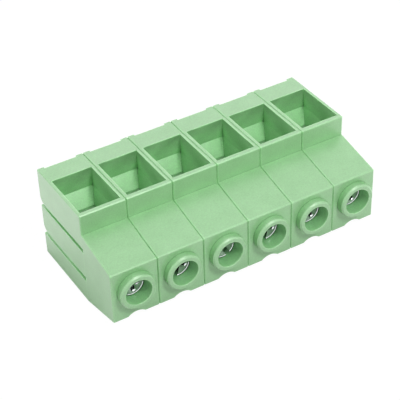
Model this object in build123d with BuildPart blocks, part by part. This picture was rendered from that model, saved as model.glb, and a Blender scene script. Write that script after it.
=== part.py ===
from build123d import *
import os
from math import hypot

# A row of board terminal modules lying on its back. All sizes are in millimetres.
# X runs along the row, the screws are at -Y, the board is at +Y and the wires come in from +Z.
# Depths (…_Y) are counted from the screw face towards the board, heights from the table.

# The row
POLES = 6
PITCH = 15.0
SEAM = 0.1

# Outline of a module, seen from the end of the row
BODY_DEPTH = 43.5
BODY_HEIGHT = 31.0
SCREW_FACE_TOP = 21.0
SCREW_FACE_FOOT = 3.8
STEP_Y = 16.5
STEP_FOOT = 24.4
EDGE_BREAK = 0.25

# Feet that stand on the board, at both sides of every module
FOOT_WIDTH = 2.2
FOOT_PROUD = 0.8

# Screw collar and the passage behind it
SCREW_Z = 13.5
COLLAR_R = 5.75
COLLAR_PROUD = 2.4
COLLAR_RIM = 0.45
BORE_R = 4.1
WEB_Y = 6.05
WEB_THICKNESS = 2.75
SHANK_HOLE_R = 3.2

# Scallop under the collar, running out on the sloping back
SCALLOP_R = 4.45
SCALLOP_DEPTH = 0.95
SCALLOP_RUN = 14.0

# Wire funnel: a straight mouth, then four slopes down to the wire hole
MOUTH_WIDTH = 12.75
MOUTH_Y = 18.1
MOUTH_DEPTH = 17.55
MOUTH_FOOT = 24.5
HOLE_WIDTH = 9.4
HOLE_Y = 22.6
HOLE_DEPTH = 9.75
HOLE_TOP = 20.0

# Pocket for the metal parts, open to the board
POCKET_WIDTH = 11.5
POCKET_TOP = 19.0
BACK_WALL = 2.0
SLEEVE_SHELF = 8.0
SHELF_Y = 19.6

# Hollow that keeps the thick wall behind the funnel from sinking in
CORE_WIDTH = 10.4
CORE_Y = 37.8
CORE_FOOT = 21.2
CORE_TOP = 28.8

# Grooves in one side of a module and the tongues on the other
GROOVE_HEIGHTS = (8.15, 18.65)
GROOVE_WIDTH = 1.4
GROOVE_DEPTH = 1.0
LEAD_IN_R = 2.5
TONGUE_CLEARANCE = 0.1
TONGUE_FRONT_GAP = 0.3
TONGUE_LENGTH = 23.0
SIDE_RELIEF = 0.1

# Clamping screw
HEAD_R = 3.9
HEAD_HEIGHT = 4.0
HEAD_SEAT = 0.05
SLOT_WIDTH = 1.4
SLOT_DEPTH = 1.8
CROSS_LENGTH = 6.2
CROSS_WIDTH = 1.2
SHANK_R = 2.97
SHANK_TIP_Y = 19.6
SLOT_ANGLES = (80, 15, -28, 12, 60, 62)

# Clamping sleeve, bent from strip with both ends lapped at the threaded side
STRIP = 1.4
SLEEVE_WIDTH = 10.9
SLEEVE_TOP_Y = 16.65
SLEEVE_BOTTOM_Y = 33.0
SLEEVE_FOOT = 8.3
SLEEVE_LENGTH = 10.4
SLEEVE_BEND_R = 1.1
LAP_GAP = 0.05
LAP_START = 3.65
LAP_END = 4.4
THREAD_CLEARANCE = 0.05

# Current bar with four solder pins
BAR_THICKNESS = 1.5
BAR_WIDTH = 7.6
BAR_GAP = 0.3
BAR_BACK_GAP = 0.05
BAR_BEND_R = 1.4
BAR_TIP = 0.6
BAR_TIP_GAP = 0.1
PLATE_INSET = 0.5
TONGUE_SLIT = 0.4
WIDE_FROM = 10.5
PIN_WIDTH = 1.2
PIN_LENGTH = 4.5
PIN_ROW_SPACING = 13.5
PIN_CHAMFER = 0.3

# Positions that follow from the sizes above
MODULE_WIDTH = PITCH - SEAM
TONGUE_PROUD = SEAM + GROOVE_DEPTH - TONGUE_CLEARANCE
LEFT = -(POLES * PITCH - SEAM + TONGUE_PROUD) / 2
FRONT = -(BODY_DEPTH + PIN_LENGTH - COLLAR_PROUD) / 2
AXIS_X = LEFT + MODULE_WIDTH / 2
RIGHT = LEFT + MODULE_WIDTH
SHANK_AXIS = Axis((AXIS_X, 0, SCREW_Z), (0, 1, 0))


def across(y):
    """Plane across the screw axis at a depth, facing the front."""
    return Plane(origin=(AXIS_X, FRONT + y, SCREW_Z), x_dir=(1, 0, 0), z_dir=(0, -1, 0))


def level(z):
    """Level plane at a height, with its origin over the screw axis at the screw face."""
    return Plane(origin=(AXIS_X, FRONT, z), x_dir=(1, 0, 0), z_dir=(0, 0, 1))


def upright(x):
    """Upright plane along the screw axis, with depth and height as its directions."""
    return Plane(origin=(x, FRONT, 0), x_dir=(0, 1, 0), z_dir=(1, 0, 0))


def groove_outline(y_from, y_to, height, width, lead_in):
    """A straight slot seen from the end, with a rounded lead-in above its far end."""
    low = height - width / 2
    high = height + width / 2
    with BuildLine() as outline:
        if lead_in > 0:
            Polyline((y_from, high), (y_from, low), (y_to, low), (y_to, high + lead_in))
            JernArc((y_to, high + lead_in), (0, -1), lead_in, -90)
            Line((y_to - lead_in, high), (y_from, high))
        else:
            Polyline((y_from, low), (y_to, low), (y_to, high), (y_from, high), close=True)
    return outline.line


# Housing module
with BuildPart() as housing:
    with BuildSketch(upright(LEFT)):
        with BuildLine():
            Polyline(
                (0, SCREW_FACE_FOOT),
                (0, SCREW_FACE_TOP),
                (STEP_Y, STEP_FOOT),
                (STEP_Y, BODY_HEIGHT),
                (BODY_DEPTH, BODY_HEIGHT),
                (BODY_DEPTH, 0),
                (STEP_Y, 0),
                close=True,
            )
        make_face()
    extrude(amount=MODULE_WIDTH)
    inner_corner = Vector(LEFT + MODULE_WIDTH / 2, FRONT + STEP_Y, STEP_FOOT)
    outer_edges = housing.edges().sort_by_distance(inner_corner)[1:]
    chamfer(outer_edges, EDGE_BREAK)

    # Relief that leaves a foot at each side
    with BuildSketch(level(0)):
        with Locations((0, BODY_DEPTH)):
            Rectangle(MODULE_WIDTH - 2 * FOOT_WIDTH, 2 * FOOT_PROUD)
    extrude(amount=BODY_HEIGHT, mode=Mode.SUBTRACT)

    # Collar, screw passage and web
    with BuildSketch(across(0)):
        Circle(COLLAR_R)
    extrude(amount=COLLAR_PROUD)
    with BuildSketch(across(-COLLAR_PROUD)):
        Circle(BORE_R)
    extrude(amount=-(COLLAR_PROUD + WEB_Y), mode=Mode.SUBTRACT)
    rim = housing.faces().sort_by(Axis.Y)[0]
    chamfer(rim.outer_wire().edges(), COLLAR_RIM)
    with BuildSketch(across(WEB_Y)):
        Circle(SHANK_HOLE_R)
    extrude(amount=-WEB_THICKNESS, mode=Mode.SUBTRACT)

    # Scallop
    run_out = SCREW_FACE_FOOT * (1 - SCALLOP_RUN / STEP_Y)
    fall = SCREW_FACE_FOOT + SCALLOP_DEPTH - run_out
    scallop_length = hypot(SCALLOP_RUN, fall)
    scallop_axis = Vector(0, SCALLOP_RUN / scallop_length, -fall / scallop_length)
    start = Vector(AXIS_X, FRONT, SCREW_FACE_FOOT + SCALLOP_DEPTH - SCALLOP_R)
    with BuildSketch(Plane(origin=start - scallop_axis * SCALLOP_R, x_dir=(1, 0, 0), z_dir=scallop_axis)):
        Circle(SCALLOP_R)
    extrude(amount=scallop_length + 2 * SCALLOP_R, mode=Mode.SUBTRACT)

    # Wire funnel
    with BuildSketch(level(BODY_HEIGHT)):
        with Locations((0, MOUTH_Y + MOUTH_DEPTH / 2)):
            Rectangle(MOUTH_WIDTH, MOUTH_DEPTH)
    extrude(amount=MOUTH_FOOT - BODY_HEIGHT, mode=Mode.SUBTRACT)
    mouth_corner = (AXIS_X - MOUTH_WIDTH / 2, FRONT + MOUTH_Y, MOUTH_FOOT)
    slope_side = (MOUTH_WIDTH - HOLE_WIDTH) / 2
    slope_front = HOLE_Y - MOUTH_Y
    with Locations(Plane(origin=mouth_corner, x_dir=(1, 0, 0), z_dir=(0, 1, 0))):
        Wedge(
            MOUTH_WIDTH,
            MOUTH_FOOT - HOLE_TOP,
            MOUTH_DEPTH,
            slope_side,
            slope_front,
            slope_side + HOLE_WIDTH,
            slope_front + HOLE_DEPTH,
            align=None,
            mode=Mode.SUBTRACT,
        )
    with BuildSketch(level(HOLE_TOP)):
        with Locations((0, HOLE_Y + HOLE_DEPTH / 2)):
            Rectangle(HOLE_WIDTH, HOLE_DEPTH)
    extrude(amount=POCKET_TOP - HOLE_TOP, mode=Mode.SUBTRACT)

    # Pocket: a high chamber for the sleeve and a full one from the bar to the board
    with BuildSketch(upright(AXIS_X)):
        with BuildLine():
            Polyline(
                (WEB_Y + WEB_THICKNESS, SLEEVE_SHELF),
                (WEB_Y + WEB_THICKNESS, POCKET_TOP),
                (BODY_DEPTH, POCKET_TOP),
                (BODY_DEPTH, BACK_WALL),
                (SHELF_Y, BACK_WALL),
                (SHELF_Y, SLEEVE_SHELF),
                close=True,
            )
        make_face()
    extrude(amount=POCKET_WIDTH / 2, both=True, mode=Mode.SUBTRACT)

    # Seat for the tip of the bar in the roof of the pocket
    with BuildSketch(level(POCKET_TOP)):
        with Locations((0, SHANK_TIP_Y + BAR_GAP + BAR_THICKNESS / 2)):
            Rectangle(BAR_WIDTH + 2 * BAR_TIP_GAP, BAR_THICKNESS + 2 * BAR_TIP_GAP)
    extrude(amount=BAR_TIP + BAR_TIP_GAP, mode=Mode.SUBTRACT)

    # Hollow in the wall behind the funnel
    with BuildSketch(level(CORE_FOOT)):
        with Locations((0, (CORE_Y + BODY_DEPTH) / 2)):
            Rectangle(CORE_WIDTH, BODY_DEPTH - CORE_Y)
    extrude(amount=CORE_TOP - CORE_FOOT, mode=Mode.SUBTRACT)

    # Slightly lower side face behind the kink, then the grooves
    with BuildSketch(upright(LEFT)):
        with BuildLine():
            Polyline(
                (STEP_Y, 0),
                (STEP_Y, GROOVE_HEIGHTS[1]),
                (BODY_DEPTH, GROOVE_HEIGHTS[1]),
                (BODY_DEPTH, 0),
                close=True,
            )
        make_face()
    extrude(amount=SIDE_RELIEF, mode=Mode.SUBTRACT)
    for height in GROOVE_HEIGHTS:
        with BuildSketch(upright(LEFT)):
            with BuildLine():
                add(groove_outline(STEP_Y, BODY_DEPTH, height, GROOVE_WIDTH, LEAD_IN_R))
            make_face()
        extrude(amount=GROOVE_DEPTH, mode=Mode.SUBTRACT)

    # Tongues
    tongue_from = STEP_Y + TONGUE_FRONT_GAP
    tongue_width = GROOVE_WIDTH - 2 * TONGUE_CLEARANCE
    for height in GROOVE_HEIGHTS:
        with BuildSketch(upright(RIGHT)):
            with BuildLine():
                add(groove_outline(tongue_from, tongue_from + TONGUE_LENGTH, height, tongue_width, 0))
            make_face()
        extrude(amount=TONGUE_PROUD)

# Clamping screw: a cheese head with a slot and a closed cross arm, on a shank that ends
# just ahead of the bar
with BuildPart() as screw:
    head_y = WEB_Y - HEAD_SEAT - HEAD_HEIGHT
    with BuildSketch(level(SCREW_Z)):
        with BuildLine():
            Polyline(
                (0, head_y),
                (HEAD_R, head_y),
                (HEAD_R, head_y + HEAD_HEIGHT),
                (SHANK_R, head_y + HEAD_HEIGHT),
                (SHANK_R, SHANK_TIP_Y),
                (0, SHANK_TIP_Y),
                close=True,
            )
        make_face()
    revolve(axis=SHANK_AXIS)
    with BuildSketch(across(head_y)):
        Rectangle(SLOT_WIDTH, 3 * HEAD_R)
        Rectangle(CROSS_LENGTH, CROSS_WIDTH)
    extrude(amount=-SLOT_DEPTH, mode=Mode.SUBTRACT)

# Clamping sleeve
with BuildPart() as sleeve:
    side = SLEEVE_WIDTH / 2 - STRIP / 2
    outer_lap = SLEEVE_TOP_Y + STRIP / 2
    inner_lap = outer_lap + STRIP + LAP_GAP
    bottom = SLEEVE_BOTTOM_Y - STRIP / 2
    bend = SLEEVE_BEND_R
    with BuildSketch(level(SLEEVE_FOOT)):
        with BuildLine():
            Line((-LAP_START, inner_lap), (side - bend, inner_lap))
            JernArc((side - bend, inner_lap), (1, 0), bend, 90)
            Line((side, inner_lap + bend), (side, bottom - bend))
            JernArc((side, bottom - bend), (0, 1), bend, 90)
            Line((side - bend, bottom), (bend - side, bottom))
            JernArc((bend - side, bottom), (-1, 0), bend, 90)
            Line((-side, bottom - bend), (-side, outer_lap + bend))
            JernArc((-side, outer_lap + bend), (0, -1), bend, 90)
            Line((bend - side, outer_lap), (LAP_END, outer_lap))
        trace(line_width=STRIP)
    extrude(amount=SLEEVE_LENGTH)
    with BuildSketch(across(SLEEVE_TOP_Y)):
        Circle(SHANK_R + THREAD_CLEARANCE)
    extrude(amount=-3 * STRIP, mode=Mode.SUBTRACT)

# Current bar: contact strip in front of the screw tip, leg along the back wall,
# plate across the open side and four pins
with BuildPart() as bar:
    contact_y = SHANK_TIP_Y + BAR_GAP + BAR_THICKNESS / 2
    leg_z = BACK_WALL + BAR_BACK_GAP + BAR_THICKNESS / 2
    plate_y = BODY_DEPTH - FOOT_PROUD - PLATE_INSET - BAR_THICKNESS / 2
    pin_z = leg_z + PIN_ROW_SPACING
    pin_end = BODY_DEPTH + PIN_LENGTH
    bend = BAR_BEND_R
    with BuildSketch(upright(AXIS_X)):
        with BuildLine():
            Line((contact_y, POCKET_TOP + BAR_TIP), (contact_y, leg_z + bend))
            JernArc((contact_y, leg_z + bend), (0, -1), bend, 90)
            Line((contact_y + bend, leg_z), (plate_y - bend, leg_z))
            JernArc((plate_y - bend, leg_z), (1, 0), bend, 90)
            Line((plate_y, leg_z + bend), (plate_y, pin_z - bend))
            JernArc((plate_y, pin_z - bend), (0, 1), bend, -90)
            Line((plate_y + bend, pin_z), (pin_end, pin_z))
        trace(line_width=BAR_THICKNESS)
    extrude(amount=BAR_WIDTH / 2, both=True)

    # The plate is narrow where the first two pins were cut from its sides
    inner_edge = BAR_WIDTH / 2 - PIN_WIDTH - TONGUE_SLIT
    slit_y = plate_y - bend - BAR_THICKNESS / 2
    with BuildSketch(level(0)):
        with Locations((0, (slit_y + BODY_DEPTH) / 2)):
            Rectangle(BAR_WIDTH + BAR_THICKNESS, BODY_DEPTH - slit_y)
            Rectangle(2 * inner_edge, BODY_DEPTH - slit_y, mode=Mode.SUBTRACT)
    extrude(amount=WIDE_FROM, mode=Mode.SUBTRACT)
    with BuildSketch(level(leg_z - BAR_THICKNESS / 2)):
        with Locations((0, (slit_y + pin_end) / 2)):
            with GridLocations(BAR_WIDTH - PIN_WIDTH, 0, 2, 1):
                Rectangle(PIN_WIDTH, pin_end - slit_y)
    extrude(amount=BAR_THICKNESS)

    # The last two pins
    with BuildSketch(level(pin_z - BAR_THICKNESS)):
        with Locations((0, pin_end - PIN_LENGTH / 2)):
            Rectangle(BAR_WIDTH - 2 * PIN_WIDTH, PIN_LENGTH)
    extrude(amount=2 * BAR_THICKNESS, mode=Mode.SUBTRACT)
    tips = bar.faces().filter_by(Axis.Y).group_by(Axis.Y)[-1]
    chamfer(tips.edges(), PIN_CHAMFER)

# One file for each piece in the row
os.makedirs("parts", exist_ok=True)
for pole in range(POLES):
    shift = Location((pole * PITCH, 0, 0))
    turned = screw.part.rotate(SHANK_AXIS, SLOT_ANGLES[pole % len(SLOT_ANGLES)])
    for node, piece in (
        (f"housing_{pole + 1}", shift * housing.part),
        (f"screw_{pole + 1}", shift * turned),
        (f"sleeve_{pole + 1}", shift * sleeve.part),
        (f"bar_{pole + 1}", shift * bar.part),
    ):
        piece.label = node
        export_step(piece, f"parts/{node}.step")
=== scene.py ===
# %% [markdown]
# # A row of green board terminals
# The row lies on its back: six moulded modules side by side, each with a square funnel for
# a wire, a round collar for the screwdriver and, inside, a screw, a bent steel sleeve and a
# tinned bar. The solid model arrives as a fixed frame. This script gives it its finishes,
# cuts real threads on the screws, and sets up the floor, the light and the camera.

# %% Load the frame
import math

import bmesh
import bpy
from mathutils import Matrix, Vector


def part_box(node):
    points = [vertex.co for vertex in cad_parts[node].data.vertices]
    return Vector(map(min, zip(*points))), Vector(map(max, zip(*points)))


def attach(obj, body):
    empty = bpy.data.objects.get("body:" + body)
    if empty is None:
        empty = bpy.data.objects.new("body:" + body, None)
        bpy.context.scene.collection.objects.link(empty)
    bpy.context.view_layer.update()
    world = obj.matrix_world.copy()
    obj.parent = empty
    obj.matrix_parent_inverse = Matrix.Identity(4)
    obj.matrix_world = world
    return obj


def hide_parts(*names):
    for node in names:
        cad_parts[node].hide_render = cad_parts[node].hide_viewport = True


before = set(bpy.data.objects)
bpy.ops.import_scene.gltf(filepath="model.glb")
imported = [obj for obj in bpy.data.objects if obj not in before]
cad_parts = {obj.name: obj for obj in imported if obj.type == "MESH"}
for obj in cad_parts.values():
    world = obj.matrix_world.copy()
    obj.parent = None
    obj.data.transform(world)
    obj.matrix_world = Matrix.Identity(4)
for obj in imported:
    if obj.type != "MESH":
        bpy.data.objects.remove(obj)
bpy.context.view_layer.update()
MM = 0.001
POLES = len([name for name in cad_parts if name.startswith("housing_")])

# %% [markdown]
# ## Camera
# The photograph was taken with a long lens from the front left, looking down at about 37
# degrees. A wide lens close by would show the same side, but it would make the near poles
# larger than the far ones. The long lens far away keeps the six almost equal, as they are in
# the photograph. The place and turn below lay the corners of the modules on the
# photograph's.

# %% Camera
LENS = 120.7
SENSOR = 36.0
CAMERA_PLACE = (-0.16296, -0.27623, 0.25936)
CAMERA_TURN = (52.5445, 1.6259, -31.3257)
SEES_AS_FAR_AS = 10.0

camera_data = bpy.data.cameras.new("camera")
camera_data.sensor_width = SENSOR
camera_data.lens = LENS
camera_data.clip_end = SEES_AS_FAR_AS
camera = bpy.data.objects.new("camera", camera_data)
camera.location = CAMERA_PLACE
camera.rotation_euler = [math.radians(angle) for angle in CAMERA_TURN]
bpy.context.scene.collection.objects.link(camera)
bpy.context.scene.camera = camera
bpy.context.scene.view_settings.view_transform = "Standard"
print("camera at", tuple(round(c, 3) for c in camera.location), "lens", camera_data.lens, "mm")

# %% [markdown]
# ## Helpers for node materials
# A material is a small network: a pattern goes in at the left, a shader comes out at the
# right. Each node could be added and linked by hand every time. These helpers do it in one
# line, so that a finish below reads as a list of what it is made of.


# %% Node helpers
def add_node(tree, kind, **sockets):
    """A node of that kind, with the sockets named set to values."""
    node = tree.nodes.new(kind)
    for name, value in sockets.items():
        node.inputs[name.replace("_", " ")].default_value = value
    return node


def new_material(name):
    """An empty node material with its output node."""
    material = bpy.data.materials.new(name)
    material.use_nodes = True
    material.node_tree.nodes.clear()
    output = material.node_tree.nodes.new("ShaderNodeOutputMaterial")
    return material, material.node_tree, output


def maths(tree, operation, first, second):
    """Two values or numbers worked out by that operation."""
    node = tree.nodes.new("ShaderNodeMath")
    node.operation = operation
    for socket, value in zip(node.inputs, (first, second)):
        if isinstance(value, (int, float)):
            socket.default_value = value
        else:
            tree.links.new(value, socket)
    return node.outputs[0]


def spread(tree, value, low, high, from_low=0.3, from_high=0.7):
    """The pattern's value, spread to run from low to high."""
    node = add_node(tree, "ShaderNodeMapRange", From_Min=from_low, From_Max=from_high,
                    To_Min=low, To_Max=high)
    tree.links.new(value, node.inputs["Value"])
    return node.outputs["Result"]


print("node helpers ready")


# %% Pattern helpers
def millimetres(tree):
    """Object coordinates in millimetres, so that a pattern's scale reads as repeats per mm."""
    place = add_node(tree, "ShaderNodeTexCoord")
    scale = add_node(tree, "ShaderNodeMapping", Scale=(1 / MM, 1 / MM, 1 / MM))
    tree.links.new(place.outputs["Object"], scale.inputs["Vector"])
    return scale.outputs["Vector"]


def noise(tree, vector, scale, detail=2.0, roughness=0.5):
    """A noise pattern, as a value around one half."""
    node = add_node(tree, "ShaderNodeTexNoise", Scale=scale, Detail=detail, Roughness=roughness)
    tree.links.new(vector, node.inputs["Vector"])
    return node.outputs["Fac"]


def colour_band(tree, value, stops):
    """The colour that a value falls on, in a band of stops given as (position, colour)."""
    node = tree.nodes.new("ShaderNodeValToRGB")
    band = node.color_ramp.elements
    for element, (position, colour) in zip(band, (stops[0], stops[-1])):
        element.position = position
        element.color = tuple(colour) + (1.0,)
    for position, colour in stops[1:-1]:
        band.new(position).color = tuple(colour) + (1.0,)
    tree.links.new(value, node.inputs["Fac"])
    return node.outputs["Color"]


# Used for the real grain speckle and for the painted shade, bounce light and edge highlight of the
# plastic.
def multiplied(tree, colour, factor):
    """A colour times another colour or a value."""
    node = tree.nodes.new("ShaderNodeMix")
    node.data_type = "RGBA"
    node.blend_type = "MULTIPLY"
    sockets = {socket.identifier: socket for socket in node.inputs}
    sockets["Factor_Float"].default_value = 1.0
    tree.links.new(colour, sockets["A_Color"])
    tree.links.new(factor, sockets["B_Color"])
    return next(socket for socket in node.outputs if socket.identifier == "Result_Color")


def openness(tree, reach, inside=False):
    """How open the piece is within that reach of a point: one on a flat, less in a corner."""
    node = add_node(tree, "ShaderNodeAmbientOcclusion", Distance=reach)
    node.samples = 8
    node.inside = inside
    node.only_local = True
    return node.outputs["AO"]


print("pattern helpers ready")

# %% [markdown]
# ## Floor
# The row stands on plain white with a faint shadow. A floor lit until it turned white would
# need so much light that the green would bleach. So the floor is a middling grey for the
# light, while the camera sees mostly a glow of its own. A small share of what the camera sees
# is the lit grey, and that share carries the shadow. The screws mirror the floor glowing bright,
# a painted reflection, and dark where something stands close to it, a painted shadow.

# %% Floor material
FLOOR_GREY = 0.6
FLOOR_GLOW = 1.06
GLOW_SHARE = 0.93
# Painted reflection: mirrors see the floor glow, with a painted shadow that darkens it near things.
MIRROR_REACH = 40 * MM
MIRROR_PAINTED_SHADOW = 0.1
MIRROR_PAINTED_GLOW = 1.9


def white_floor(name):
    """A floor that the camera sees as nearly white with the shadow left in, and that mirrors see as a
    painted glow with painted shadow near things.
    """
    material, tree, output = new_material(name)
    lit = add_node(tree, "ShaderNodeBsdfDiffuse", Color=(FLOOR_GREY, FLOOR_GREY, FLOOR_GREY, 1.0))
    glow = add_node(tree, "ShaderNodeEmission", Strength=FLOOR_GLOW)
    mirrored = add_node(tree, "ShaderNodeEmission")
    path = tree.nodes.new("ShaderNodeLightPath")
    # Painted shadow in reflections: an occlusion pattern dims the glow that mirrors see close to the row.
    near = add_node(tree, "ShaderNodeAmbientOcclusion", Distance=MIRROR_REACH)
    painted_mirror_light = spread(tree, near.outputs["AO"], MIRROR_PAINTED_SHADOW, MIRROR_PAINTED_GLOW, 0.3, 0.95)
    mirror_glow = maths(tree, "MULTIPLY", path.outputs["Is Glossy Ray"], painted_mirror_light)
    tree.links.new(mirror_glow, mirrored.inputs["Strength"])
    mix = tree.nodes.new("ShaderNodeMixShader")
    tree.links.new(maths(tree, "MULTIPLY", path.outputs["Is Camera Ray"], GLOW_SHARE), mix.inputs["Fac"])
    tree.links.new(lit.outputs[0], mix.inputs[1])
    tree.links.new(glow.outputs[0], mix.inputs[2])
    whole = tree.nodes.new("ShaderNodeAddShader")
    tree.links.new(mix.outputs[0], whole.inputs[0])
    tree.links.new(mirrored.outputs[0], whole.inputs[1])
    tree.links.new(whole.outputs[0], output.inputs["Surface"])
    return material


print("floor grey", FLOOR_GREY, "of which the camera sees", round(1 - GLOW_SHARE, 2))

# %% Floor
FLOOR_REACH = 2.0

floor_mesh = bpy.data.meshes.new("floor")
floor_corners = [(-FLOOR_REACH, -FLOOR_REACH, 0), (FLOOR_REACH, -FLOOR_REACH, 0),
                 (FLOOR_REACH, FLOOR_REACH, 0), (-FLOOR_REACH, FLOOR_REACH, 0)]
floor_mesh.from_pydata(floor_corners, [], [(0, 1, 2, 3)])
floor = bpy.data.objects.new("floor", floor_mesh)
bpy.context.scene.collection.objects.link(floor)
floor_mesh.materials.append(white_floor("white_floor"))
print("floor", tuple(round(s, 2) for s in floor.dimensions))

# %% [markdown]
# ## World and lamps
# In the photograph the light comes from all round, with one clearer light high in front: the
# walls of the funnels that face it are pale and the collars throw short soft shadows. The
# world could light everything evenly, but then the six modules would look flat. So the world
# gives a weak even light, a lamp in front gives the direction, and a weaker one at the rear
# left fills the far walls. Each kind of ray gets its own white: a weak one for the light, plain
# white for the camera, and a strong one for gloss, which lays a pale veil on the plastic and
# lights the screws.

# %% World
ROOM_LIGHT = 0.33
ROOM_WHITE = 1.0
ROOM_SHINE = 2.7

world = bpy.data.worlds.new("white_room")
bpy.context.scene.world = world
world.use_nodes = True
room = world.node_tree
room.nodes.clear()
room_output = room.nodes.new("ShaderNodeOutputWorld")
room_light, room_white, room_shine = [
    add_node(room, "ShaderNodeBackground", Color=(1.0, 1.0, 1.0, 1.0), Strength=strength)
    for strength in (ROOM_LIGHT, ROOM_WHITE, ROOM_SHINE)]
room_path = room.nodes.new("ShaderNodeLightPath")
shine_mix = room.nodes.new("ShaderNodeMixShader")
seen_mix = room.nodes.new("ShaderNodeMixShader")
room.links.new(room_path.outputs["Is Glossy Ray"], shine_mix.inputs["Fac"])
room.links.new(room_light.outputs[0], shine_mix.inputs[1])
room.links.new(room_shine.outputs[0], shine_mix.inputs[2])
room.links.new(room_path.outputs["Is Camera Ray"], seen_mix.inputs["Fac"])
room.links.new(shine_mix.outputs[0], seen_mix.inputs[1])
room.links.new(room_white.outputs[0], seen_mix.inputs[2])
room.links.new(seen_mix.outputs[0], room_output.inputs["Surface"])
print("world light", ROOM_LIGHT, "white", ROOM_WHITE, "shine", ROOM_SHINE)

# %% Lamps
LAMPS = {
    "key": {"place": (0.11, -0.49, 0.62), "aim": (0, 0, 0.01), "side": 0.16, "power": 2.75},
    "left_fill": {"place": (-0.52, 0.14, 0.40), "aim": (0, 0, 0.015), "side": 0.3, "power": 0.58},
}


def soft_lamp(name, place, aim, side, power):
    """A square lamp at a place in metres, aimed at a point."""
    data = bpy.data.lights.new(name, "AREA")
    data.shape = "RECTANGLE"
    data.size = side
    data.size_y = side
    data.energy = power
    lamp = bpy.data.objects.new(name, data)
    lamp.location = place
    lamp.rotation_euler = (Vector(aim) - Vector(place)).to_track_quat("-Z", "Y").to_euler()
    bpy.context.scene.collection.objects.link(lamp)
    return lamp


for name, values in LAMPS.items():
    lamp = soft_lamp(name, **values)
    print("lamp", lamp.name, lamp.data.energy, "W")

# %% [markdown]
# ## Green moulded plastic
# The housings are a pastel green polyamide with an eroded mould surface: a fine matt grain
# that shows as a faint mottle. A coarse noise, like the flow of the melt, runs the colour
# between two greens. A fine one, like the grain of the mould, gives the speckle, the gloss and
# the bump together, so that they agree with each other.
#
# The rest comes from the shape, as painted light and shade. A painted map could darken corners,
# but it would have to be made for each module. An occlusion pattern measures the shape itself.
# A short one paints shade into the inner corners. A long one paints into the funnels and bores
# the green of light that has gone from wall to wall, a painted bounce light, and paints shade
# into the deepest places. A short one turned inside out paints a highlight on the outer edges,
# where a thin edge of a light plastic catches the light.

# %% Green plastic values
FLOW_SCALE = 0.16
GRAIN_SCALE = 2.4
GRAIN_DETAIL = 3.0
GREENS = ((0.3, (0.262, 0.530, 0.248)), (0.7, (0.300, 0.580, 0.286)))
SPECKLE = (0.92, 1.08)
# Painted shade: a short occlusion pattern darkens the inner corners.
CORNER_REACH = 0.9 * MM
CORNER_PAINTED_SHADE = 0.25
# Painted light and shade: a long occlusion pattern makes funnels and bores paler and greener, as bounced
# light would, and darkens their deepest places.
FUNNEL_REACH = 16 * MM
FUNNEL_PAINTED_LIGHT_AND_SHADE = ((0.08, (0.28, 0.52, 0.32)), (0.36, (1.22, 1.30, 1.24)),
                (0.48, (1.22, 1.30, 1.24)), (0.58, (1.0, 1.0, 1.0)))
# Painted highlight: an inside-out occlusion pattern makes the outer edges paler, as light caught on them
# would.
EDGE_HIGHLIGHT_REACH = 0.6 * MM
PAINTED_EDGE_HIGHLIGHT = 1.8
PLASTIC_ROUGH = (0.34, 0.46)
GRAIN_HEIGHT = 0.05 * MM
print("occlusion reaches", round(CORNER_REACH / MM, 1), round(FUNNEL_REACH / MM, 1),
      round(EDGE_HIGHLIGHT_REACH / MM, 1), "mm")


# %% Green plastic
def green_plastic(name):
    """Pastel green plastic with a fine mould grain, and painted shade, bounce light and edge highlights
    from occlusion patterns.
    """
    material, tree, output = new_material(name)
    place = millimetres(tree)
    flow = noise(tree, place, FLOW_SCALE, GRAIN_DETAIL)
    grain = noise(tree, place, GRAIN_SCALE, GRAIN_DETAIL)
    colour = colour_band(tree, flow, GREENS)
    colour = multiplied(tree, colour, spread(tree, grain, *SPECKLE))
    # painted shade in the inner corners
    corner = openness(tree, CORNER_REACH)
    colour = multiplied(tree, colour, spread(tree, corner, CORNER_PAINTED_SHADE, 1.0, 0.3, 0.75))
    # painted bounce light in the funnels and bores, painted shade in the deepest places
    funnel = openness(tree, FUNNEL_REACH)
    colour = multiplied(tree, colour, colour_band(tree, funnel, FUNNEL_PAINTED_LIGHT_AND_SHADE))
    # painted highlight on the outer edges
    edge = openness(tree, EDGE_HIGHLIGHT_REACH, inside=True)
    colour = multiplied(tree, colour, spread(tree, edge, PAINTED_EDGE_HIGHLIGHT, 1.0, 0.4, 0.9))
    bump = add_node(tree, "ShaderNodeBump", Strength=0.3, Distance=GRAIN_HEIGHT)
    tree.links.new(grain, bump.inputs["Height"])
    shader = add_node(tree, "ShaderNodeBsdfPrincipled", IOR=1.5, Specular_IOR_Level=0.9)
    tree.links.new(colour, shader.inputs["Base Color"])
    tree.links.new(spread(tree, grain, *PLASTIC_ROUGH), shader.inputs["Roughness"])
    tree.links.new(bump.outputs["Normal"], shader.inputs["Normal"])
    tree.links.new(shader.outputs[0], output.inputs["Surface"])
    return material


plastic = green_plastic("green_plastic")
print("green plastic:", len(plastic.node_tree.nodes), "nodes")

# %% [markdown]
# ## Rounded edges
# A mould leaves no dead sharp edge, and a rounded edge is what catches a line of light. A
# shader can fake that with a bevel node, but the outline would stay sharp and the mesh would
# have none of it, so the edges are rounded in the mesh. Each module is copied, its
# flat faces are joined again, and every square outer edge gets a weight that says how wide
# its bevel is: wider round the collars' mouths and on the shoulder over them, and at the seams
# as wide as each seam looks in the photograph. The normals are weighted by face size, so that
# flat faces stay flat in the light and the broken edges between them look round.

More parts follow.
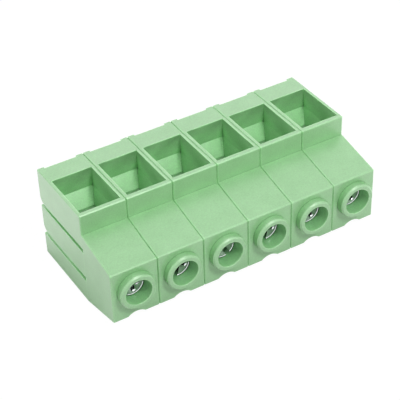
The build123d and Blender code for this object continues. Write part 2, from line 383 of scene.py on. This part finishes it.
# %% Rounding values
EDGE_ROUND = 0.12 * MM
MOUTH_ROUND = 0.25 * MM
SHOULDER_ROUND = 0.25 * MM
SEAM_ROUND = [width * MM for width in (0.22, 0.06, 0.20, 0.17, 0.12, 0.06)]
TONGUE_REACH = 1.05 * MM
COLLAR_OUT = 2.4 * MM
FLAT = 0.01 * MM
SAME_POINT = 0.0005 * MM
SAME_PLANE = math.radians(0.5)
SQUARE_EDGE = math.radians(60)
CREASE = math.radians(16)
FACES_BACK = 0.9
print("seams rounded by", [round(width / MM, 2) for width in SEAM_ROUND], "mm")


# %% Mesh helpers
def to_object(build, name):
    """The mesh as an object in the scene."""
    mesh = bpy.data.meshes.new(name)
    build.to_mesh(mesh)
    build.free()
    thing = bpy.data.objects.new(name, mesh)
    bpy.context.scene.collection.objects.link(thing)
    return thing


def applied(thing):
    """The mesh of an object with its modifiers worked in; the object itself is removed."""
    view = bpy.context.evaluated_depsgraph_get()
    mesh = bpy.data.meshes.new_from_object(thing.evaluated_get(view))
    bpy.data.objects.remove(thing)
    return mesh


print("mesh helpers ready")


# %% Edge weights
def joined_faces(node):
    """A merged copy of a module's triangles with its flat faces whole, and a weight for each edge."""
    build = bmesh.new()
    build.from_mesh(node.data)
    weight = build.edges.layers.float.new("bevel_weight_edge")
    bmesh.ops.remove_doubles(build, verts=build.verts, dist=SAME_POINT)
    bmesh.ops.dissolve_limit(build, angle_limit=SAME_PLANE, verts=build.verts, edges=build.edges)
    # The back faces stay triangles, because they run round the hollows in the cores.
    back = [face for face in build.faces if face.normal.y > FACES_BACK]
    bmesh.ops.triangulate(build, faces=back, ngon_method="BEAUTY")
    return build, weight


def square_edges(build):
    """The square outer edges, apart from those of the hidden tongues."""
    tongues_from = max(v.co.x for v in build.verts) - TONGUE_REACH
    return [edge for edge in build.edges
            if edge.is_convex and edge.calc_face_angle() > SQUARE_EDGE
            and all(v.co.x < tongues_from for v in edge.verts)]


def weigh_edges(build, weight, square, seam_round):
    """Each square edge's share of the widest bevel, by where on the module it lies."""
    left = min(v.co.x for v in build.verts)
    front = min(v.co.y for v in build.verts)
    shoulder = max(v.co.z for v in build.verts if v.co.y < front + COLLAR_OUT + FLAT)
    for edge in square:
        width = EDGE_ROUND
        if all(v.co.x < left + FLAT for v in edge.verts):
            width = seam_round
        elif all(v.co.y < front + FLAT for v in edge.verts):
            width = MOUTH_ROUND
        elif all(abs(v.co.z - shoulder) < FLAT for v in edge.verts):
            width = SHOULDER_ROUND
        edge[weight] = width / MOUTH_ROUND


print("edges sharper than", round(math.degrees(SQUARE_EDGE)), "degrees are rounded")


# %% Rounded modules
def rounded_module(node, name, seam_round):
    """A copy of a module with its square outer edges rounded."""
    build, weight = joined_faces(node)
    square = square_edges(build)
    for edge in build.edges:
        edge.smooth = edge.calc_face_angle() < CREASE
    for edge in square:
        edge.smooth = True
    for face in build.faces:
        face.smooth = True
    weigh_edges(build, weight, square, seam_round)
    copy = to_object(build, name + "_plain")
    bevel = copy.modifiers.new("edges", "BEVEL")
    bevel.limit_method = "WEIGHT"
    bevel.width = MOUTH_ROUND
    bevel.segments = 2
    bevel.use_clamp_overlap = False
    if "custom_normal" in copy.data.attributes:
        copy.data.attributes.remove(copy.data.attributes["custom_normal"])
    weighted = copy.modifiers.new("weighted", "WEIGHTED_NORMAL")
    weighted.keep_sharp = True
    whole = bpy.data.objects.new(name, applied(copy))
    bpy.context.scene.collection.objects.link(whole)
    whole.data.materials.clear()
    whole.data.materials.append(plastic)
    return whole


for number in range(1, POLES + 1):
    node_name = "housing_%d" % number
    module = rounded_module(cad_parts[node_name], "moulded_module_%d" % number,
                            SEAM_ROUND[number - 1])
    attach(module, "row")
    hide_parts(node_name)
print("rounded modules:", POLES, "with", len(module.data.polygons), "faces each")

# %% [markdown]
# ## Metal finishes
# The screws and sleeves are zinc-plated steel, bright but a little cloudy. The bars are
# tinned, softer in their gloss. A metal of one roughness would look like chrome. So each is a
# full metal whose colour and roughness follow a cloudy noise, with a fine bump, and that is
# what makes it look like plating.

# %% Plated metal
CLOUD_SHADE = 0.88
CLOUD_BAND = (0.35, 0.65)
CLOUD_DETAIL = 3.0
FINE_REPEATS = 3
PLATING_BUMP = 0.2


def plated_metal(name, colour, smooth, rough, cloud_scale, depth):
    """A plated metal whose gloss varies between smooth and rough."""
    material, tree, output = new_material(name)
    place = millimetres(tree)
    cloud = noise(tree, place, cloud_scale, CLOUD_DETAIL)
    fine = noise(tree, place, cloud_scale * FINE_REPEATS)
    shaded = [CLOUD_SHADE * part for part in colour]
    bump = add_node(tree, "ShaderNodeBump", Strength=PLATING_BUMP, Distance=depth)
    tree.links.new(fine, bump.inputs["Height"])
    shader = add_node(tree, "ShaderNodeBsdfPrincipled", Metallic=1.0)
    tint = colour_band(tree, cloud, list(zip(CLOUD_BAND, (shaded, colour))))
    tree.links.new(tint, shader.inputs["Base Color"])
    tree.links.new(spread(tree, cloud, smooth, rough), shader.inputs["Roughness"])
    tree.links.new(bump.outputs["Normal"], shader.inputs["Normal"])
    tree.links.new(shader.outputs[0], output.inputs["Surface"])
    return material


print("cloudy patches darkened to", CLOUD_SHADE)

# %% Finishes of the metal parts
screw_zinc = plated_metal("zinc_plate", (0.36, 0.38, 0.38), smooth=0.06, rough=0.14,
                          cloud_scale=1.2, depth=0.02 * MM)
sleeve_zinc = plated_metal("sleeve_zinc", (0.31, 0.315, 0.325), smooth=0.24, rough=0.40,
                           cloud_scale=0.9, depth=0.03 * MM)
bar_tin = plated_metal("tin_plate", (0.36, 0.36, 0.35), smooth=0.28, rough=0.45,
                       cloud_scale=0.7, depth=0.03 * MM)
FINISH = {"screw_": screw_zinc, "sleeve_": sleeve_zinc, "bar_": bar_tin}
for name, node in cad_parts.items():
    for start, finish in FINISH.items():
        if name.startswith(start):
            for slot in node.material_slots:
                slot.material = finish
print("metal finishes:", sorted(FINISH))

# %% [markdown]
# ## Clamping screws
# The solid model has plain screws. The real ones have a head with a rounded rim and a shallow
# dish, cut by a long slot and a shorter closed arm across it, so that a flat or a cross driver
# fits; then a short neck and a rolled thread of one millimetre pitch. A head could be modelled
# face by face. It is turned from a half outline here, as on a lathe, and the slot and the arm
# are milled out by booleans, which is how the real one takes its shape. The edges are then
# broken by a bevel, because a dead sharp metal edge never catches the light.

# %% Screw sizes
SLOT_ANGLES = (80, 15, -28, 12, 60, 62)
HEAD_RADIUS = 3.9 * MM
HEAD_HEIGHT = 4.0 * MM
RIM = 0.2 * MM
RIM_STEPS = 5
HEAD_BREAK = 0.15 * MM
DISH_RADIUS = 3.65 * MM
DISH_DEPTH = 0.10 * MM
SLOT_WIDTH = 1.4 * MM
SLOT_DEPTH = 1.8 * MM
CROSS_LENGTH = 6.2 * MM
CROSS_WIDTH = 1.2 * MM
ARM_FLARE = 0.4 * MM
ARM_STEPS = 24
MILLED_EDGE = 0.12 * MM
MILLED_ANGLE = math.radians(40)
NECK = 2.2 * MM
NECK_FLARE = 0.3 * MM
CORE = 2.42 * MM
CREST = 2.97 * MM
THREAD_PITCH = 1.0 * MM
TIP = 0.6 * MM
HEAD_STEPS = 64
SHANK_STEPS = 36
print("screw head", round(HEAD_RADIUS / MM, 2), "mm radius, shank", round(CREST / MM, 2), "mm")


# %% Lathe
def lathe(outline, steps):
    """A closed solid turned round the Z axis from (radius, height) points that start and end on it."""
    build = bmesh.new()
    rings = []
    for radius, height in outline:
        if radius == 0:
            rings.append([build.verts.new((0, 0, height))])
            continue
        turn = [2 * math.pi * step / steps for step in range(steps)]
        rings.append([build.verts.new((radius * math.cos(a), radius * math.sin(a), height)) for a in turn])
    for lower, upper in zip(rings, rings[1:]):
        for step in range(steps):
            after = (step + 1) % steps
            corners = [lower[step % len(lower)], lower[after % len(lower)],
                       upper[after % len(upper)], upper[step % len(upper)]]
            build.faces.new(list(dict.fromkeys(corners)))
    bmesh.ops.recalc_face_normals(build, faces=build.faces)
    return build


print("lathe ready:", HEAD_STEPS, "steps for a head,", SHANK_STEPS, "for a shank")


# %% Milling cutters
def slot_cutter():
    """A bar along X that is wider than the head and as deep as the slot."""
    build = bmesh.new()
    bmesh.ops.create_cube(build, size=1.0)
    bmesh.ops.scale(build, vec=(3 * HEAD_RADIUS, SLOT_WIDTH, 2 * SLOT_DEPTH), verts=build.verts)
    return to_object(build, "slot_cutter")


def arm_cutter():
    """A long round-ended recess along Y, with a mouth that opens at 45 degrees."""
    build = bmesh.new()
    half = CROSS_WIDTH / 2
    rings = []
    for radius, height in ((half + 2 * ARM_FLARE, -ARM_FLARE), (half, ARM_FLARE), (half, SLOT_DEPTH)):
        ring = []
        for step in range(ARM_STEPS):
            turn = 2 * math.pi * (step + 0.5) / ARM_STEPS
            end = math.copysign(CROSS_LENGTH / 2 - half - ARM_FLARE, math.sin(turn))
            ring.append(build.verts.new((radius * math.cos(turn), radius * math.sin(turn) + end, height)))
        rings.append(ring)
    for lower, upper in zip(rings, rings[1:]):
        for step in range(ARM_STEPS):
            after = (step + 1) % ARM_STEPS
            build.faces.new((lower[step], lower[after], upper[after], upper[step]))
    build.faces.new(rings[0])
    build.faces.new(rings[-1])
    bmesh.ops.recalc_face_normals(build, faces=build.faces)
    return to_object(build, "arm_cutter")


print("closed arm", round(CROSS_LENGTH / MM, 2), "mm long")


# %% Screw head
def head_outline():
    """The half outline from the dish's middle over the rim to the end of the neck."""
    outline = [(0, DISH_DEPTH), (DISH_RADIUS - DISH_DEPTH, DISH_DEPTH), (DISH_RADIUS, 0),
               (HEAD_RADIUS - RIM, 0)]
    for step in range(1, RIM_STEPS + 1):
        angle = math.radians(90 * step / RIM_STEPS)
        outline.append((HEAD_RADIUS - RIM + RIM * math.sin(angle), RIM - RIM * math.cos(angle)))
    neck_end = HEAD_HEIGHT + NECK
    outline += [(HEAD_RADIUS, HEAD_HEIGHT - HEAD_BREAK), (HEAD_RADIUS - HEAD_BREAK, HEAD_HEIGHT),
                (CORE + NECK_FLARE, HEAD_HEIGHT), (CORE, HEAD_HEIGHT + NECK_FLARE),
                (CORE, neck_end), (0, neck_end)]
    return outline


def screw_head(name):
    """The head with its neck, face at zero height and shank upwards, with the slot along X."""
    head = to_object(lathe(head_outline(), HEAD_STEPS), name)
    cutters = [slot_cutter(), arm_cutter()]
    for cutter in cutters:
        milled = head.modifiers.new(cutter.name, "BOOLEAN")
        milled.operation = "DIFFERENCE"
        milled.object = cutter
    edges = head.modifiers.new("edges", "BEVEL")
    edges.width = MILLED_EDGE
    edges.segments = 2
    edges.limit_method = "ANGLE"
    edges.angle_limit = MILLED_ANGLE
    done = applied(head)
    for cutter in cutters:
        bpy.data.objects.remove(cutter)
    return done


head_mesh = screw_head("screw_head")
print("screw head:", len(head_mesh.polygons), "faces")

# %% [markdown]
# ## Threads by Geometry Nodes
# A thread is one ridge that winds round a core. A screw modifier or an array of rings could
# stand in for it, but a node tree follows the helix itself: a spiral curve, a small rhombus
# swept along it, and a core joined to it. The tree has named inputs, so another pitch or
# length is one number. The result is turned into a plain mesh, which every screw shares.

# %% Thread inputs
THREAD_SIZES = ("Pitch", "Turns", "Core Radius", "Crest Radius")
RIDGE_SHARE = 0.94
CORE_SHARE = 0.12


def thread_inputs(name):
    """An empty Geometry Nodes tree with the thread's named inputs and a mesh as its output."""
    tree = bpy.data.node_groups.new(name, "GeometryNodeTree")
    face = tree.interface
    face.new_socket("Geometry", in_out="OUTPUT", socket_type="NodeSocketGeometry")
    for label in THREAD_SIZES:
        face.new_socket(label, in_out="INPUT", socket_type="NodeSocketFloat")
    face.new_socket("Finish", in_out="INPUT", socket_type="NodeSocketMaterial")
    return tree


print("thread sizes:", THREAD_SIZES)


# %% Ridge and core
def thread_ridge(tree, start, length, depth):
    """A rhombus swept along a spiral, as wide as most of the pitch."""
    spiral = tree.nodes.new("GeometryNodeCurveSpiral")
    spiral.inputs["Resolution"].default_value = SHANK_STEPS
    tree.links.new(start["Turns"], spiral.inputs["Rotations"])
    tree.links.new(start["Core Radius"], spiral.inputs["Start Radius"])
    tree.links.new(start["Core Radius"], spiral.inputs["End Radius"])
    tree.links.new(length, spiral.inputs["Height"])
    upright = tree.nodes.new("GeometryNodeSetCurveNormal")
    upright.mode = "Z_UP"
    tree.links.new(spiral.outputs["Curve"], upright.inputs["Curve"])
    rhombus = tree.nodes.new("GeometryNodeCurvePrimitiveQuadrilateral")
    rhombus.mode = "KITE"
    tree.links.new(maths(tree, "MULTIPLY", start["Pitch"], RIDGE_SHARE), rhombus.inputs["Width"])
    tree.links.new(depth, rhombus.inputs["Bottom Height"])
    tree.links.new(depth, rhombus.inputs["Top Height"])
    ridge = tree.nodes.new("GeometryNodeCurveToMesh")
    ridge.inputs["Fill Caps"].default_value = True
    tree.links.new(upright.outputs["Curve"], ridge.inputs["Curve"])
    tree.links.new(rhombus.outputs["Curve"], ridge.inputs["Profile Curve"])
    return ridge.outputs["Mesh"]


def thread_core(tree, start, length, depth):
    """A cylinder that reaches a little way up the ridge and stands on zero height."""
    core = tree.nodes.new("GeometryNodeMeshCylinder")
    core.inputs["Vertices"].default_value = SHANK_STEPS
    radius = maths(tree, "ADD", start["Core Radius"], maths(tree, "MULTIPLY", depth, CORE_SHARE))
    tree.links.new(radius, core.inputs["Radius"])
    tree.links.new(length, core.inputs["Depth"])
    lift = tree.nodes.new("ShaderNodeCombineXYZ")
    tree.links.new(maths(tree, "MULTIPLY", length, 0.5), lift.inputs["Z"])
    raised = tree.nodes.new("GeometryNodeTransform")
    tree.links.new(core.outputs["Mesh"], raised.inputs["Geometry"])
    tree.links.new(lift.outputs[0], raised.inputs["Translation"])
    return raised.outputs["Geometry"]


print("ridge", round(RIDGE_SHARE * THREAD_PITCH / MM, 2), "mm wide at its foot")


# %% Thread tree
def thread_tree(name):
    """A node tree that makes a threaded shank along Z, with named sizes."""
    tree = thread_inputs(name)
    start = tree.nodes.new("NodeGroupInput").outputs
    end = tree.nodes.new("NodeGroupOutput").inputs
    length = maths(tree, "MULTIPLY", start["Pitch"], start["Turns"])
    depth = maths(tree, "SUBTRACT", start["Crest Radius"], start["Core Radius"])
    join = tree.nodes.new("GeometryNodeJoinGeometry")
    tree.links.new(thread_ridge(tree, start, length, depth), join.inputs["Geometry"])
    tree.links.new(thread_core(tree, start, length, depth), join.inputs["Geometry"])
    real = tree.nodes.new("GeometryNodeRealizeInstances")
    finish = tree.nodes.new("GeometryNodeSetMaterial")
    tree.links.new(join.outputs[0], real.inputs["Geometry"])
    tree.links.new(real.outputs[0], finish.inputs["Geometry"])
    tree.links.new(start["Finish"], finish.inputs["Material"])
    tree.links.new(finish.outputs[0], end[0])
    return tree


rolled_thread = thread_tree("rolled_thread")
print("thread tree:", len(rolled_thread.nodes), "nodes")

# %% Grow the thread
THREAD_LAP = 0.1 * MM


def grown(name, tree, **values):
    """The plain mesh that a node tree grows, with its inputs set by name."""
    seed = bpy.data.objects.new(name, bpy.data.meshes.new(name))
    bpy.context.scene.collection.objects.link(seed)
    growth = seed.modifiers.new("growth", "NODES")
    growth.node_group = tree
    for item in tree.interface.items_tree:
        key = item.name.replace(" ", "_")
        if item.in_out == "INPUT" and key in values:
            growth[item.identifier] = values[key]
    return applied(seed)


screw_low, screw_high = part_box("screw_1")
shank_from = HEAD_HEIGHT + NECK - THREAD_LAP
thread_length = (screw_high.y - screw_low.y) - shank_from - TIP
thread_mesh = grown("thread", rolled_thread, Pitch=THREAD_PITCH, Turns=thread_length / THREAD_PITCH,
                    Core_Radius=CORE, Crest_Radius=CREST, Finish=screw_zinc)
reach = max(math.hypot(v.co.x, v.co.y) for v in thread_mesh.vertices)
print("thread:", len(thread_mesh.polygons), "faces, crest radius", round(reach / MM, 3), "mm")

# %% [markdown]
# ## Screws in their places
# Each real screw stops wherever its driver left it, so the six slots stand at six angles. The
# head, the thread and a pointed tip are put together along Z, then turned by one matrix so
# that the face looks out of the collar and the slot stands as in the photograph. The meshes
# are moved and not the objects, because the patterns of the finish start from the object's
# own origin.

# %% Screw tip
TIP_PROUD = 0.05 * MM
TIP_SHARE = 0.8

tip_build = lathe([(0, 0), (CORE + TIP_PROUD, 0), (CORE - TIP * TIP_SHARE, TIP), (0, TIP)], SHANK_STEPS)
tip_mesh = bpy.data.meshes.new("screw_tip")
tip_build.to_mesh(tip_mesh)
tip_build.free()
print("screw tip:", len(tip_mesh.polygons), "faces")

# %% Place the screws
SHARP_METAL = math.radians(35)


def add_mesh(whole, mesh, height):
    """A mesh added to the whole, lifted to a height along Z."""
    part = bmesh.new()
    part.from_mesh(mesh)
    bmesh.ops.translate(part, vec=(0, 0, height), verts=part.verts)
    lifted = bpy.data.meshes.new("lifted")
    part.to_mesh(lifted)
    part.free()
    whole.from_mesh(lifted)


def dressed_screw(number):
    """Head, thread and tip of one screw, in place and turned as its slot stands."""
    low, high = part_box("screw_%d" % number)
    whole = bmesh.new()
    whole.from_mesh(head_mesh)
    add_mesh(whole, thread_mesh, shank_from)
    add_mesh(whole, tip_mesh, shank_from + thread_length)
    to_axis = Matrix.Rotation(math.radians(-90), 4, "X")
    slot_turn = Matrix.Rotation(math.radians(SLOT_ANGLES[number - 1] - 90), 4, "Y")
    middle = Matrix.Translation(((low.x + high.x) / 2, low.y, (low.z + high.z) / 2))
    bmesh.ops.transform(whole, matrix=middle @ slot_turn @ to_axis, verts=whole.verts)
    screw = to_object(whole, "threaded_screw_%d" % number)
    screw.data.materials.clear()
    screw.data.materials.append(screw_zinc)
    for face in screw.data.polygons:
        face.material_index = 0
    screw.data.shade_smooth()
    screw.data.set_sharp_from_angle(angle=SHARP_METAL)
    return screw


for number in range(1, POLES + 1):
    screw = dressed_screw(number)
    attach(screw, "screw_%d" % number)
    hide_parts("screw_%d" % number)
print("screws placed:", POLES)
